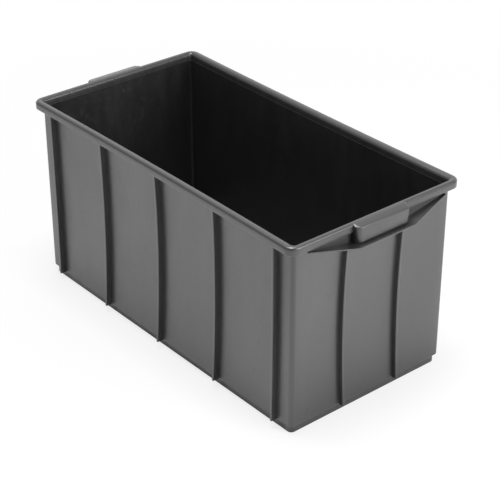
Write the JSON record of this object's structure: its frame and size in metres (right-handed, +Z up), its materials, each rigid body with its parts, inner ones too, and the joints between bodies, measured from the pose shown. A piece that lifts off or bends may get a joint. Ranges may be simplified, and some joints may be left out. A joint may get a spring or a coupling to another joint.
{
  "type": "plastic crate",
  "caption": "Deep rectangular open-top plastic crate with closed ribbed walls, a stacking rim with an inner step, and a moulded hand grip at each end.",
  "frame": {"origin": "under the middle of the crate, on the surface it stands on", "axes": "+X along the crate towards one grip, +Y across it, +Z up out of the mouth"},
  "size_m": [0.6346, 0.312, 0.302],
  "materials": {
    "crate_plastic": "satin moulded black polypropylene"
  },
  "bodies": {
    "root": {"back_foot": "crate_plastic", "back_left_corner": "crate_plastic", "back_left_foot_corner": "crate_plastic", "back_left_rim_corner": "crate_plastic", "back_rib_1": "crate_plastic", "back_rib_2": "crate_plastic", "back_rib_3": "crate_plastic", "back_rib_4": "crate_plastic", "back_rib_5": "crate_plastic", "back_right_corner": "crate_plastic", "back_right_foot_corner": "crate_plastic", "back_right_rim_corner": "crate_plastic", "back_rim": "crate_plastic", "back_wall": "crate_plastic", "floor_panel": "crate_plastic", "front_foot": "crate_plastic", "front_left_corner": "crate_plastic", "front_left_foot_corner": "crate_plastic", "front_left_rim_corner": "crate_plastic", "front_rib_1": "crate_plastic", "front_rib_2": "crate_plastic", "front_rib_3": "crate_plastic", "front_rib_4": "crate_plastic", "front_rib_5": "crate_plastic", "front_right_corner": "crate_plastic", "front_right_foot_corner": "crate_plastic", "front_right_rim_corner": "crate_plastic", "front_rim": "crate_plastic", "front_wall": "crate_plastic", "left_back_grip_flare": "crate_plastic", "left_foot": "crate_plastic", "left_front_grip_flare": "crate_plastic", "left_grip": "crate_plastic", "left_grip_lip": "crate_plastic", "left_rib_1": "crate_plastic", "left_rib_2": "crate_plastic", "left_rim": "crate_plastic", "left_wall": "crate_plastic", "right_back_grip_flare": "crate_plastic", "right_foot": "crate_plastic", "right_front_grip_flare": "crate_plastic", "right_grip": "crate_plastic", "right_grip_lip": "crate_plastic", "right_rib_1": "crate_plastic", "right_rib_2": "crate_plastic", "right_rim": "crate_plastic", "right_wall": "crate_plastic"}
  },
  "joints": []
}
